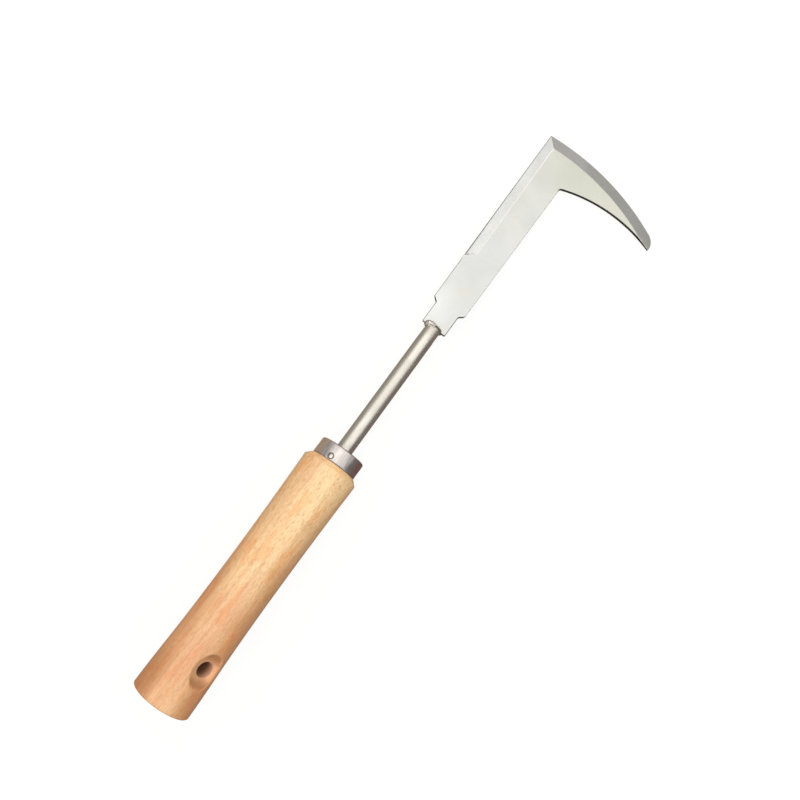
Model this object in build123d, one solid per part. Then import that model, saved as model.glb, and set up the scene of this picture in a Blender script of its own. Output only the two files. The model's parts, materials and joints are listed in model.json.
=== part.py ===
from build123d import *
from math import atan2, cos, degrees, hypot, sin, sqrt
import os

# Hand sickle for weeding: a turned beech handle with a hanging hole, a drawn steel ferrule held by
# one nail, a round steel neck driven into the handle, and a flat hooked blade welded to the neck.
# Millimetres. The tool is drawn along X from the butt at X = 0, with the hook towards -Y and the
# ground bevels facing +Z. At the end it is laid down as it rests on a flat surface at Z = 0.

# ---------------------------------------------------------------- driving dimensions

# handle
HANDLE_LENGTH = 114.4          # butt to the ferrule's seat
BUTT_DIAMETER = 25.8
BUTT_DOME = 0.7                # rise of the butt's end face
GRIP_DIAMETER = 24.6           # where the butt's swell runs out
WAIST_DIAMETER = 23.8
PALM_DIAMETER = 24.3
FRONT_DIAMETER = 25.6          # swell behind the front shoulder
GRIP_PLACE = 0.22              # shares of the way from the butt to the front shoulder
WAIST_PLACE = 0.50
PALM_PLACE = 0.76
FRONT_FLARE = 0.03             # slope of the swell where it meets the front chamfer
SHOULDER_LENGTH = 2.4          # front chamfer, along the axis
SHOULDER_EDGE_RADIUS = 0.8
BUTT_EDGE_RADIUS = 0.7

# hanging hole
HANG_HOLE_DIAMETER = 6.8
HANG_HOLE_FROM_BUTT = 20.8
HANG_HOLE_ROLL = 41.0          # degrees from straight up, towards the hook's side
HANG_DISH_LENGTH = 15.5        # round dish sanded into each mouth, along the handle
HANG_DISH_DEPTH = 2.3
HANG_DISH_EDGE_RADIUS = 1.0

# ferrule and its nail
FERRULE_LENGTH = 7.4
FERRULE_DIAMETER = 20.7
FERRULE_WALL = 0.8
FERRULE_RIM_RADIUS = 1.1
NAIL_HEAD_DIAMETER = 2.4
NAIL_HEAD_HEIGHT = 0.45
NAIL_SHANK_DIAMETER = 1.3
NAIL_POINT_TO_NECK = 1.6       # wood left between the nail's point and the neck
NAIL_FROM_SHOULDER = 1.75
NAIL_ROLL = 15.1               # degrees from straight up, away from the hook's side

# neck
NECK_DIAMETER = 7.3
NECK_SHOWING = 67.3            # ferrule's end to the neck's slotted end
NECK_BURIED = 60.0             # inside the ferrule and the handle
NECK_POINT = 2.0               # length of the taper on the driven end
NECK_POINT_DIAMETER = 4.4
NECK_RIM_RADIUS = 0.4

# blade
TOOL_LENGTH = 300.0            # butt to the far edge of the hook
BLADE_THICKNESS = 1.6
TONGUE_LENGTH = 6.0            # inside the neck's slot
TONGUE_SHOULDER = 0.4          # how far the tab runs back over the neck's end
TAB_WIDTH = 12.1
TAB_LENGTH = 10.7
STEP_LENGTH = 1.9              # from the tab's width to the blade's width
BLADE_WIDTH_AT_STEP = 16.6
BLADE_WIDTH_AT_HOOK = 18.0
HOOK_EDGE_RADIUS = 118.4       # outer cutting edge
HOOK_EDGE_OFFSET = 2.6         # centre of that edge, towards the hook
HOOK_BACK_RADIUS = 70.6        # inner edge of the hook
HOOK_BACK_OFFSET = 35.5        # centre of that edge, towards the hook
HOOK_WAIST = 15.8              # tool's far end to the inner edge at its furthest
HOOK_REACH = 58.7              # neck's axis to the tip
TIP_RADIUS = 7.0
HEEL_RADIUS = 1.6
NOTCH_RADIUS = 0.8
STEP_RADIUS = 1.5
TAB_CORNER_RADIUS = 0.5

# ground bevels, both on the upper face
EDGE_LAND = 0.15               # thickness left at the cutting edges
HOOK_BEVEL_WIDTH = 5.8
SIDE_BEVEL_WIDTH = 4.5
SIDE_BEVEL_START = 36.0        # tab's end to the start of the side bevel
SIDE_BEVEL_RUNOUT = 2.2        # length of the ground step at its start
SIDE_BEVEL_SKEW = 28           # degrees that this step slants back from square

# welds round the neck's slotted end
WELD_RADIUS = 1.3
WELD_STANDOFF = 0.15           # bead's middle outside the neck's surface
SIDE_WELD_SPAN = (-48, 56)     # degrees about the neck, from the side away from the hook
BACK_WELD_SPAN = (-168, -84)

# clearances
SOCKET_CLEARANCE = 0.03        # neck in the handle
TENON_CLEARANCE = 0.05         # handle in the ferrule
NECK_HOLE_CLEARANCE = 0.10     # neck through the ferrule
NAIL_CLEARANCE = 0.02
SLOT_CLEARANCE = 0.04          # blade in the neck's slot
TIP_CLEARANCE = 0.5            # past the ends of blind holes
SAME_PLACE = 0.01              # tolerance for picking edges by where they are
CUTTER_SPARE = 1.0             # how far the side bevel's cutter stands outside the metal

# ---------------------------------------------------------------- derived places

front_x = HANDLE_LENGTH - SHOULDER_LENGTH
seat_radius = FERRULE_DIAMETER / 2 + TENON_CLEARANCE
tenon_radius = FERRULE_DIAMETER / 2 - FERRULE_WALL - TENON_CLEARANCE
tenon_length = FERRULE_LENGTH - FERRULE_WALL - TENON_CLEARANCE
ferrule_end = HANDLE_LENGTH + FERRULE_LENGTH
neck_radius = NECK_DIAMETER / 2
neck_start = ferrule_end - NECK_BURIED
neck_end = ferrule_end + NECK_SHOWING
tab_start = neck_end - TONGUE_SHOULDER
tab_end = tab_start + TAB_LENGTH
blade_start = tab_end + STEP_LENGTH
half_thickness = BLADE_THICKNESS / 2
tongue_half_width = sqrt(neck_radius**2 - half_thickness**2) - SLOT_CLEARANCE
hook_edge_centre = (TOOL_LENGTH - HOOK_EDGE_RADIUS, -HOOK_EDGE_OFFSET)
hook_back_centre = (TOOL_LENGTH - HOOK_WAIST - HOOK_BACK_RADIUS, -HOOK_BACK_OFFSET)
nail_x = HANDLE_LENGTH + NAIL_FROM_SHOULDER
nail_point_radius = neck_radius + NAIL_POINT_TO_NECK


# ---------------------------------------------------------------- helpers

def around_axis(profile):
    """Turn a closed half profile, drawn as (x, radius), about the tool's axis."""
    return revolve(make_face(profile), Axis.X)


def outer_ring(body, x):
    """The largest edge that runs round the tool's axis at one place along it."""
    rings = body.edges().filter_by(GeomType.CIRCLE)
    rings = rings.filter_by_position(Axis.X, x - SAME_PLACE, x + SAME_PLACE)
    return rings.sort_by(SortBy.LENGTH)[-1]


def rolled_place(x, roll):
    """A place on the tool's axis whose Z points out of the tool, rolled towards the hook's side."""
    return Pos(x, 0, 0) * Rot(roll, 0, 0)


def circle_point(centre, radius, y):
    """The point at height y on the far (+X) half of a circle."""
    return (centre[0] + sqrt(radius**2 - (y - centre[1]) ** 2), y)


def circles_meet(centre_a, radius_a, centre_b, radius_b):
    """Where two circles cross, on the left of the way from a to b."""
    dx = centre_b[0] - centre_a[0]
    dy = centre_b[1] - centre_a[1]
    gap = hypot(dx, dy)
    along = (gap**2 + radius_a**2 - radius_b**2) / (2 * gap)
    aside = sqrt(radius_a**2 - along**2)
    x = centre_a[0] + (along * dx - aside * dy) / gap
    y = centre_a[1] + (along * dy + aside * dx) / gap
    return (x, y)


def arc_between(centre, radius, start, end):
    """The short arc of a circle from one of its points to another."""
    middle_x = (start[0] + end[0]) / 2 - centre[0]
    middle_y = (start[1] + end[1]) / 2 - centre[1]
    reach = radius / hypot(middle_x, middle_y)
    return ThreePointArc(start, (centre[0] + middle_x * reach, centre[1] + middle_y * reach), end)


# ---------------------------------------------------------------- handle

def hang_hole_cutter():
    """Through hole with a round dish at each mouth."""
    half_length = HANG_DISH_LENGTH / 2
    dish_radius = (half_length**2 + HANG_DISH_DEPTH**2) / (2 * HANG_DISH_DEPTH)
    dish_height = GRIP_DIAMETER / 2 - HANG_DISH_DEPTH + dish_radius
    cutter = Cylinder(HANG_HOLE_DIAMETER / 2, 2 * GRIP_DIAMETER)
    for side in (-1, 1):
        cutter += Pos(0, 0, side * dish_height) * Sphere(dish_radius)
    return rolled_place(HANG_HOLE_FROM_BUTT, HANG_HOLE_ROLL) * cutter


def handle():
    swell = Spline(
        (BUTT_DOME, BUTT_DIAMETER / 2),
        (GRIP_PLACE * front_x, GRIP_DIAMETER / 2),
        (WAIST_PLACE * front_x, WAIST_DIAMETER / 2),
        (PALM_PLACE * front_x, PALM_DIAMETER / 2),
        (front_x, FRONT_DIAMETER / 2),
        tangents=((1, 0), (1, FRONT_FLARE)),
    )
    front = Polyline(
        (front_x, FRONT_DIAMETER / 2),
        (HANDLE_LENGTH, seat_radius),
        (HANDLE_LENGTH, tenon_radius),
        (HANDLE_LENGTH + tenon_length, tenon_radius),
        (HANDLE_LENGTH + tenon_length, 0),
        (0, 0),
    )
    dome_radius = ((BUTT_DIAMETER / 2) ** 2 + BUTT_DOME**2) / (2 * BUTT_DOME)
    dome = arc_between((dome_radius, 0), dome_radius, (0, 0), (BUTT_DOME, BUTT_DIAMETER / 2))
    body = around_axis([swell, front, dome])
    body = fillet(outer_ring(body, BUTT_DOME), BUTT_EDGE_RADIUS)
    body = fillet(outer_ring(body, front_x), SHOULDER_EDGE_RADIUS)
    body -= hang_hole_cutter()
    loops = body.edges().filter_by(lambda edge: edge.is_closed)
    dish_rims = loops.filter_by(GeomType.CIRCLE, reverse=True)
    body = fillet(dish_rims, HANG_DISH_EDGE_RADIUS)
    socket_radius = neck_radius + SOCKET_CLEARANCE
    socket_start = neck_start - TIP_CLEARANCE
    socket = Pos(socket_start, 0, 0) * Rot(0, 90, 0) * Cylinder(
        socket_radius, NECK_BURIED + TIP_CLEARANCE, align=(Align.CENTER, Align.CENTER, Align.MIN)
    )
    return body - socket - nail_hole()


# ---------------------------------------------------------------- ferrule and nail

def nail_place():
    return rolled_place(nail_x, -NAIL_ROLL)


def nail_hole():
    """Hole for the nail's shank, through the ferrule and into the wood."""
    floor = nail_point_radius - TIP_CLEARANCE
    depth = FERRULE_DIAMETER / 2 + TIP_CLEARANCE - floor
    hole = Cylinder(NAIL_SHANK_DIAMETER / 2 + NAIL_CLEARANCE, depth,
                    align=(Align.CENTER, Align.CENTER, Align.MIN))
    return nail_place() * Pos(0, 0, floor) * hole


def ferrule():
    outside = FERRULE_DIAMETER / 2
    inside = outside - FERRULE_WALL
    hole = neck_radius + NECK_HOLE_CLEARANCE
    cap = ferrule_end - FERRULE_WALL
    shell = around_axis(Polyline(
        (HANDLE_LENGTH, inside),
        (HANDLE_LENGTH, outside),
        (ferrule_end, outside),
        (ferrule_end, hole),
        (cap, hole),
        (cap, inside),
        (HANDLE_LENGTH, inside),
    ))
    return fillet(outer_ring(shell, ferrule_end), FERRULE_RIM_RADIUS) - nail_hole()


def ferrule_nail():
    """Round-headed nail whose head is bedded on the ferrule."""
    outside = FERRULE_DIAMETER / 2
    head_radius = NAIL_HEAD_DIAMETER / 2
    ball = (head_radius**2 + NAIL_HEAD_HEIGHT**2) / (2 * NAIL_HEAD_HEIGHT)
    top = outside + NAIL_HEAD_HEIGHT
    head = Pos(0, 0, top - ball) * Sphere(ball)
    head &= Pos(0, 0, top) * Cylinder(head_radius, 4 * NAIL_HEAD_HEIGHT)
    head -= Rot(0, 90, 0) * Cylinder(outside, 2 * NAIL_HEAD_DIAMETER)
    shank = Pos(0, 0, nail_point_radius) * Cylinder(
        NAIL_SHANK_DIAMETER / 2,
        outside + NAIL_HEAD_HEIGHT / 2 - nail_point_radius,
        align=(Align.CENTER, Align.CENTER, Align.MIN),
    )
    return nail_place() * (head + shank)


# ---------------------------------------------------------------- neck

def neck():
    """Round bar: a tapered driven end in the handle, a sawn slot for the blade's tongue."""
    bar = around_axis(Polyline(
        (neck_start, 0),
        (neck_start, NECK_POINT_DIAMETER / 2),
        (neck_start + NECK_POINT, neck_radius),
        (neck_end, neck_radius),
        (neck_end, 0),
        (neck_start, 0),
    ))
    bar = fillet(outer_ring(bar, neck_end), NECK_RIM_RADIUS)
    slot_floor = tab_start - TONGUE_LENGTH - SLOT_CLEARANCE
    slot = Box(
        neck_end - slot_floor,
        2 * NECK_DIAMETER,
        BLADE_THICKNESS + 2 * SLOT_CLEARANCE,
        align=(Align.MIN, Align.CENTER, Align.CENTER),
    )
    return bar - Pos(slot_floor, 0, 0) * slot


# ---------------------------------------------------------------- blade

def blade_outline():
    """Tongue, tab, stepped shoulders, tapered body and hook, seen from above."""
    step_half = BLADE_WIDTH_AT_STEP / 2
    hook_half = BLADE_WIDTH_AT_HOOK / 2
    tab_half = TAB_WIDTH / 2
    tongue_start = tab_start - TONGUE_LENGTH
    corner = circle_point(hook_edge_centre, HOOK_EDGE_RADIUS, hook_half)
    heel = circle_point(hook_back_centre, HOOK_BACK_RADIUS, -hook_half)
    tip = circle_point(hook_back_centre, HOOK_BACK_RADIUS, -HOOK_REACH)
    tip_centre = circles_meet(hook_edge_centre, HOOK_EDGE_RADIUS - TIP_RADIUS, tip, TIP_RADIUS)
    turn = atan2(tip_centre[1] - hook_edge_centre[1], tip_centre[0] - hook_edge_centre[0])
    tip_shoulder = (
        hook_edge_centre[0] + HOOK_EDGE_RADIUS * cos(turn),
        hook_edge_centre[1] + HOOK_EDGE_RADIUS * sin(turn),
    )
    neck_side = Polyline(
        heel,
        (blade_start, -step_half),
        (tab_end, -tab_half),
        (tab_start, -tab_half),
        (tab_start, -tongue_half_width),
        (tongue_start, -tongue_half_width),
        (tongue_start, tongue_half_width),
        (tab_start, tongue_half_width),
        (tab_start, tab_half),
        (tab_end, tab_half),
        (blade_start, step_half),
        corner,
    )
    face = make_face([
        neck_side,
        arc_between(hook_edge_centre, HOOK_EDGE_RADIUS, corner, tip_shoulder),
        arc_between(tip_centre, TIP_RADIUS, tip_shoulder, tip),
        arc_between(hook_back_centre, HOOK_BACK_RADIUS, tip, heel),
    ])
    roundings = (
        (heel, HEEL_RADIUS),
        ((tab_end, -tab_half), NOTCH_RADIUS),
        ((tab_end, tab_half), NOTCH_RADIUS),
        ((blade_start, -step_half), STEP_RADIUS),
        ((blade_start, step_half), STEP_RADIUS),
        ((tab_start, -tab_half), TAB_CORNER_RADIUS),
        ((tab_start, tab_half), TAB_CORNER_RADIUS),
    )
    for place, radius in roundings:
        corner_point = face.vertices().sort_by_distance((place[0], place[1], 0))[0]
        face = fillet(corner_point, radius)
    return face


def hook_bevel_cutter():
    """Everything above the cone that rises inwards from the hook's cutting edge."""
    slope = HOOK_BEVEL_WIDTH / (BLADE_THICKNESS - EDGE_LAND)
    height = 2 * BLADE_THICKNESS
    low = -half_thickness + EDGE_LAND
    cone = Cone(HOOK_EDGE_RADIUS, HOOK_EDGE_RADIUS - slope * height, height,
                align=(Align.CENTER, Align.CENTER, Align.MIN))
    ring = Cylinder(2 * HOOK_EDGE_RADIUS, height, align=(Align.CENTER, Align.CENTER, Align.MIN))
    return Pos(hook_edge_centre[0], hook_edge_centre[1], low) * (ring - cone)


def side_bevel_cutter():
    """A long wedge over the straight edge opposite the hook, with a slanted start."""
    step_half = BLADE_WIDTH_AT_STEP / 2
    hook_half = BLADE_WIDTH_AT_HOOK / 2
    corner = circle_point(hook_edge_centre, HOOK_EDGE_RADIUS, hook_half)
    edge_angle = degrees(atan2(hook_half - step_half, corner[0] - blade_start))
    start = tab_start + SIDE_BEVEL_START
    start_half = step_half + (start - blade_start) * (hook_half - step_half) / (corner[0] - blade_start)
    drop = BLADE_THICKNESS - EDGE_LAND
    rise = CUTTER_SPARE * drop / SIDE_BEVEL_WIDTH
    section = Plane.YZ * make_face(Polyline(
        (CUTTER_SPARE, half_thickness - drop - rise),
        (CUTTER_SPARE, half_thickness + rise),
        (-SIDE_BEVEL_WIDTH - CUTTER_SPARE, half_thickness + rise),
        (CUTTER_SPARE, half_thickness - drop - rise),
    ))
    wedge = extrude(section, TOOL_LENGTH)
    lean = degrees(atan2(SIDE_BEVEL_RUNOUT, drop))
    trim = Box(4 * SIDE_BEVEL_WIDTH, 8 * SIDE_BEVEL_WIDTH, 8 * SIDE_BEVEL_WIDTH,
               align=(Align.MAX, Align.CENTER, Align.CENTER))
    wedge -= Pos(0, 0, half_thickness) * Rot(0, -lean, 0) * Rot(0, 0, SIDE_BEVEL_SKEW) * trim
    return Pos(start, start_half, 0) * Rot(0, 0, edge_angle) * wedge


def blade():
    plate = extrude(blade_outline(), half_thickness, both=True)
    return plate - hook_bevel_cutter() - side_bevel_cutter()


# ---------------------------------------------------------------- welds

def weld_bead(span):
    """A round-ended bead laid about the neck's end, from one angle to another."""
    first, last = span
    path_radius = neck_radius + WELD_STANDOFF
    middle = Pos(neck_end, path_radius, 0)
    bead = revolve(middle * Circle(WELD_RADIUS), Axis.X, last - first)
    bead += middle * Sphere(WELD_RADIUS)
    bead += Rot(last - first, 0, 0) * middle * Sphere(WELD_RADIUS)
    return Rot(first, 0, 0) * bead


def weld_beads(neck_piece, blade_piece):
    """A weld round the flank away from the hook, and one across the blade's back."""
    beads = [weld_bead(span) - neck_piece - blade_piece for span in (SIDE_WELD_SPAN, BACK_WELD_SPAN)]
    return Compound(children=[bead.solids().sort_by(SortBy.VOLUME)[-1] for bead in beads])


# ---------------------------------------------------------------- rest pose

def rest_place(pieces):
    """Lay the tool on its front shoulder and the far edge of its hook, centred over the origin."""
    dip = degrees(atan2(FRONT_DIAMETER / 2 - half_thickness, TOOL_LENGTH - front_x))
    turned = Rot(0, dip, 0)
    box = Compound(children=[turned * piece for piece in pieces]).bounding_box()
    return Pos(-box.center().X, -box.center().Y, -box.min.Z) * turned


def main():
    neck_piece = neck()
    blade_piece = blade()
    pieces = {
        "handle": handle(),
        "ferrule": ferrule(),
        "ferrule_nail": ferrule_nail(),
        "neck": neck_piece,
        "blade": blade_piece,
        "weld_beads": weld_beads(neck_piece, blade_piece),
    }
    place = rest_place(pieces.values())
    os.makedirs("parts", exist_ok=True)
    for name, piece in pieces.items():
        export_step(place * piece, os.path.join("parts", name + ".step"))


main()
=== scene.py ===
"""Looks of a hand sickle: beech handle, drawn ferrule, nail, round neck, ground blade and its welds.

Lengths in the tool's own axes are millimetres: X runs from the butt along the handle, the hook points
to -Y, and the ground bevels face +Z. Everything is turned into the row frame, in metres, at the end.
"""

import json
import math

import bmesh
import bpy
import numpy as np
from bpy.props import FloatProperty, FloatVectorProperty, PointerProperty
from mathutils import Matrix, Vector, noise


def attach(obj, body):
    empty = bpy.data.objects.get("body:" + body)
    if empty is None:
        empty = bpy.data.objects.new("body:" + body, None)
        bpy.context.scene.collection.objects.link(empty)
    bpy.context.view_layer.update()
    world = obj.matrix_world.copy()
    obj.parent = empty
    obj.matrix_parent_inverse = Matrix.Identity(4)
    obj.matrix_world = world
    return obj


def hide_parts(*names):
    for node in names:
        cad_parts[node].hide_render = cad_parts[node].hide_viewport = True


bl_info = {
    "name": "Hand sickle",
    "version": (1, 0, 0),
    "blender": (4, 5, 0),
    "location": "3D View > Sidebar > Sickle",
    "description": "Builds the looks of a hand sickle round its packed parts",
    "category": "Add Mesh",
}

MM = 0.001

# ---------------------------------------------------------------- the frame and the tool's own axes

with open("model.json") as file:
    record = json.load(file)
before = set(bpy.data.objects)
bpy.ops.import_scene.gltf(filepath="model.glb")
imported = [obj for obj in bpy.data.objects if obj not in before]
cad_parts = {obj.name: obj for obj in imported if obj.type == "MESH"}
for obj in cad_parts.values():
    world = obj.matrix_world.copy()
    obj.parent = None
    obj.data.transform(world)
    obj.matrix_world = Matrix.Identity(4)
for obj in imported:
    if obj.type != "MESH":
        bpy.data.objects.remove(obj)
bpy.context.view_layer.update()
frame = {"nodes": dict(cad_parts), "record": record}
mounts = {mount["name"]: mount for mount in frame["record"]["mounts"]}


def tool_axes():
    """The tool's axes in the row frame, from the two mounts that lie on its centre line."""
    hole = Vector(mounts["hang_hole"]["pos_m"])
    clip = Vector(mounts["neck_clip"]["pos_m"])
    along = (clip - hole).normalized()
    up = Vector(mounts["neck_clip"]["axis"]).normalized()
    across = up.cross(along).normalized()
    up = along.cross(across)
    wood = frame["nodes"]["handle"].data.vertices
    butt = hole + along * min((vertex.co - hole).dot(along) for vertex in wood)
    turn = Matrix((along, across, up)).transposed().to_4x4()
    return Matrix.Translation(butt) @ turn @ Matrix.Scale(MM, 4)


TO_ROW = tool_axes()
TO_TOOL = TO_ROW.inverted()


def tool_points(node):
    """A CAD node's vertices in the tool's axes, in millimetres."""
    return [TO_TOOL @ vertex.co for vertex in frame["nodes"][node].data.vertices]


def tool_box(node):
    """Lowest and highest corner of a CAD node in the tool's axes."""
    places = np.array(tool_points(node))
    return Vector(places.min(0)), Vector(places.max(0))


def side_edge():
    """The straight cutting edge opposite the hook, as two (place, distance from the axis) points."""
    points = tool_points("blade")
    far = max(points, key=lambda point: point.y)
    starts = [point for point in points if NECK_END + TAB_LENGTH < point.x < far.x - 60.0]
    near = max(starts, key=lambda point: point.y)
    return (near.x, near.y), (far.x, far.y)


def row_direction(x, y, z):
    """A direction given in the tool's axes, in the row frame."""
    return tuple((TO_ROW.to_3x3() @ Vector((x, y, z))).normalized())


BOXES = {name: tool_box(name) for name in frame["nodes"]}
HOLE_PLACE = TO_TOOL @ Vector(mounts["hang_hole"]["pos_m"])
HOLE_AXIS = (TO_TOOL.to_3x3() @ Vector(mounts["hang_hole"]["axis"])).normalized()
HOLE_SIDE = Vector((1, 0, 0)).cross(HOLE_AXIS) * math.copysign(1, HOLE_AXIS.z)
HOLE_RADIUS = mounts["hang_hole"]["dims"]["r_mm"]
HOLE_HALF = mounts["hang_hole"]["dims"]["length_mm"] / 2
NECK_RADIUS = mounts["neck_clip"]["dims"]["r_mm"]
NECK_END = BOXES["neck"][1].x
FERRULE_START, FERRULE_END = BOXES["ferrule"][0].x, BOXES["ferrule"][1].x
FERRULE_RADIUS = BOXES["ferrule"][1].z
FERRULE_WALL = 0.8
FERRULE_GAP = 0.10
NAIL_PLACE = (BOXES["ferrule_nail"][0] + BOXES["ferrule_nail"][1]) / 2
NAIL_OUT = Vector((0.0, NAIL_PLACE.y, NAIL_PLACE.z)).normalized()
NAIL_POINT = min(math.hypot(point.y, point.z) for point in tool_points("ferrule_nail"))
NAIL_HEAD = 1.2
HALF_PLATE = BOXES["blade"][1].z
PLATE_END = BOXES["blade"][1].x
HEEL = PLATE_END - 22.0
TAB_LENGTH = 11.0
SIDE_EDGE = side_edge()
SIDE_BEVEL = 4.5
BEVEL_START = SIDE_EDGE[0][0] - 2.2
HOOK_STARTS, HOOK_FULL = -11.2, -13.6
HOOK_EDGE_RADIUS = 118.4
HOOK_EDGE_OFFSET = 2.6

# colours of soiling, wear and heat, and of painted shade and painted highlights, as linear red, green and
# blue
RAW_WOOD, HOLE_DEPTH_SHADE = (0.66, 0.36, 0.25), (0.15, 0.075, 0.04)
WOOD_SEAM_DIRT = (0.16, 0.085, 0.05)
FERRULE_DULL, FERRULE_FLANK_SHADE, FERRULE_LINE = (0.37, 0.335, 0.345), (0.385, 0.365, 0.355), (0.30, 0.27, 0.25)
FERRULE_DARK, FERRULE_BRIGHT = (0.34, 0.315, 0.305), (0.74, 0.72, 0.71)
FERRULE_DIRT_AND_SHADE = (0.10, 0.075, 0.06)
NECK_DARK, NECK_BRIGHT, NECK_DULL = (0.34, 0.32, 0.28), (0.70, 0.68, 0.64), (0.40, 0.38, 0.33)
NECK_HEAT, NECK_DIRT, NECK_SOOT_AND_SHADE = (0.42, 0.36, 0.28), (0.10, 0.08, 0.065), (0.08, 0.065, 0.055)
NAIL_RIM_SHADE = (0.10, 0.08, 0.07)
TAB_BRIGHT = (0.53, 0.54, 0.54)
PLATE_SMUDGE, PLATE_STAIN, PLATE_HEAT = (0.455, 0.46, 0.44), (0.50, 0.49, 0.43), (0.40, 0.38, 0.34)
PLATE_WALL_SHADE, SHEARED_WALL, BURR = (0.055, 0.055, 0.048), (0.88, 0.88, 0.87), (0.12, 0.12, 0.11)
RIDGE_HIGHLIGHT, RUN_OUT_SHINE = (0.70, 0.70, 0.69), (0.62, 0.62, 0.61)
BAR_END_SHADOW = (0.04, 0.034, 0.03)
WELD_DULL, WELD_SOOT = (0.38, 0.35, 0.31), (0.08, 0.07, 0.06)


# ---------------------------------------------------------------- node trees

class Graph:
    """Builds a node tree in short lines: add() makes a node, sets it and joins it up."""

    def __init__(self, tree):
        self.tree = tree

    def add(self, kind, values=None, **settings):
        made = self.tree.nodes.new("ShaderNode" + kind)
        for name, value in settings.items():
            setattr(made, name, value)
        for name, value in (values or {}).items():
            self.feed(made.inputs[name], value)
        return made

    def feed(self, socket, value):
        if isinstance(value, bpy.types.NodeSocket):
            self.tree.links.new(value, socket)
        else:
            socket.default_value = value

    def math(self, operation, *values, clamp=False):
        return self.add("Math", dict(enumerate(values)), operation=operation, use_clamp=clamp).outputs[0]

    def vector(self, operation, *values):
        made = self.add("VectorMath", dict(enumerate(values)), operation=operation)
        return made.outputs["Value" if operation in ("DOT_PRODUCT", "LENGTH", "DISTANCE") else "Vector"]

    def times(self, first, *others):
        for other in others:
            first = self.math("MULTIPLY", first, other)
        return first

    def plus(self, first, second):
        return self.math("ADD", first, second)

    def less(self, first, second):
        return self.math("SUBTRACT", first, second)

    def rest(self, mask):
        return self.less(1.0, mask)

    def size(self, value):
        return self.math("ABSOLUTE", value)

    def gap(self, first, second):
        return self.size(self.less(first, second))

    def line(self, value, slope, level, clamp=False):
        return self.math("MULTIPLY_ADD", value, slope, level, clamp=clamp)

    def between(self, share, first, second):
        """A number that goes from the first to the second as the share goes from 0 to 1."""
        return self.plus(self.times(share, second), self.times(self.rest(share), first))

    def step(self, value, low, high, to_low=0.0, to_high=1.0):
        """Smooth change of a value from one level to another between two of its inputs."""
        values = {"Value": value, "From Min": low, "From Max": high, "To Min": to_low, "To Max": to_high}
        return self.add("MapRange", values, interpolation_type="SMOOTHSTEP").outputs["Result"]

    def step_line(self, value, ends):
        """Height of a straight line, given by its two ends, at a value along it."""
        (low, low_height), (high, high_height) = ends
        slope = (high_height - low_height) / (high - low)
        return self.line(value, slope, low_height - low * slope)

    def mix(self, share, first, second, blend="MIX"):
        made = self.add("Mix", data_type="RGBA", blend_type=blend)
        self.feed(made.inputs[0], share)
        for index, colour in ((6, first), (7, second)):
            linked = isinstance(colour, bpy.types.NodeSocket)
            self.feed(made.inputs[index], colour if linked else (*colour, 1))
        return made.outputs[2]

    def lay(self, colour, paint, *masks, blend="MIX"):
        """Lays paint over a colour, as thick as the product of the masks."""
        return self.mix(self.times(*masks), colour, paint, blend)

    def tint(self, colour, factors, *masks):
        """Multiplies a colour by factors, as far as the product of the masks says."""
        return self.lay(colour, factors, *masks, blend="MULTIPLY")

    def stretch(self, place, x, y, z):
        return self.vector("MULTIPLY", place, (x, y, z))

    def noise(self, place, scale, detail=2.0, roughness=0.5, distortion=0.0):
        values = {"Vector": place, "Scale": scale, "Detail": detail,
                  "Roughness": roughness, "Distortion": distortion}
        return self.add("TexNoise", values).outputs["Fac"]

    def fibre(self, place, along, across, detail=2.0, roughness=0.5, distortion=0.0):
        """Noise with one scale along the tool and another square to it."""
        return self.noise(self.stretch(place, along, across, across), 1.0, detail, roughness, distortion)

    def dashes(self, place, along, across, core, rim, level=1.0):
        """Short marks along the tool, one in each cell, and the cells' random colours."""
        values = {"Vector": self.stretch(place, along, across, across), "Scale": 1.0, "Randomness": 1.0}
        cells = self.add("TexVoronoi", values, feature="F1").outputs
        return self.step(cells["Distance"], core, rim, level, 0.0), cells["Color"]

    def parts(self, place):
        return self.add("SeparateXYZ", {0: place}).outputs

    def joined(self, x, y, z):
        return self.add("CombineXYZ", {0: x, 1: y, 2: z}).outputs[0]

    def off_line(self, place, point, direction):
        """Offset from a point, height along the line through it, and distance from that line."""
        offset = self.vector("SUBTRACT", place, tuple(point))
        height = self.vector("DOT_PRODUCT", offset, tuple(direction))
        square = self.math("POWER", self.vector("LENGTH", offset), 2.0)
        return offset, height, self.math("SQRT", self.less(square, self.math("POWER", height, 2.0)))

    def use(self, name, **values):
        """One of the shared node groups, built the first time that it is asked for."""
        if name not in GROUPS:
            GROUPS[name] = GROUP_MAKERS[name]()
        made = self.tree.nodes.new("ShaderNodeGroup")
        made.node_tree = GROUPS[name]
        for title, value in values.items():
            self.feed(made.inputs[title.capitalize()], value)
        return made.outputs

    def grime(self, place, distance, reach):
        return self.use("grime", place=place, distance=distance, reach=reach)["Mask"]


def new_group(name, inputs, outputs):
    """An empty node group. Inputs are (name, kind, default) and outputs (name, kind)."""
    tree = bpy.data.node_groups.new(name, "ShaderNodeTree")
    for title, kind, default in inputs:
        socket = tree.interface.new_socket(title, in_out="INPUT", socket_type="NodeSocket" + kind)
        socket.default_value = default
    for title, kind in outputs:
        tree.interface.new_socket(title, in_out="OUTPUT", socket_type="NodeSocket" + kind)
    given = tree.nodes.new("NodeGroupInput").outputs
    wanted = tree.nodes.new("NodeGroupOutput").inputs
    return tree, Graph(tree), given, wanted


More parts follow.
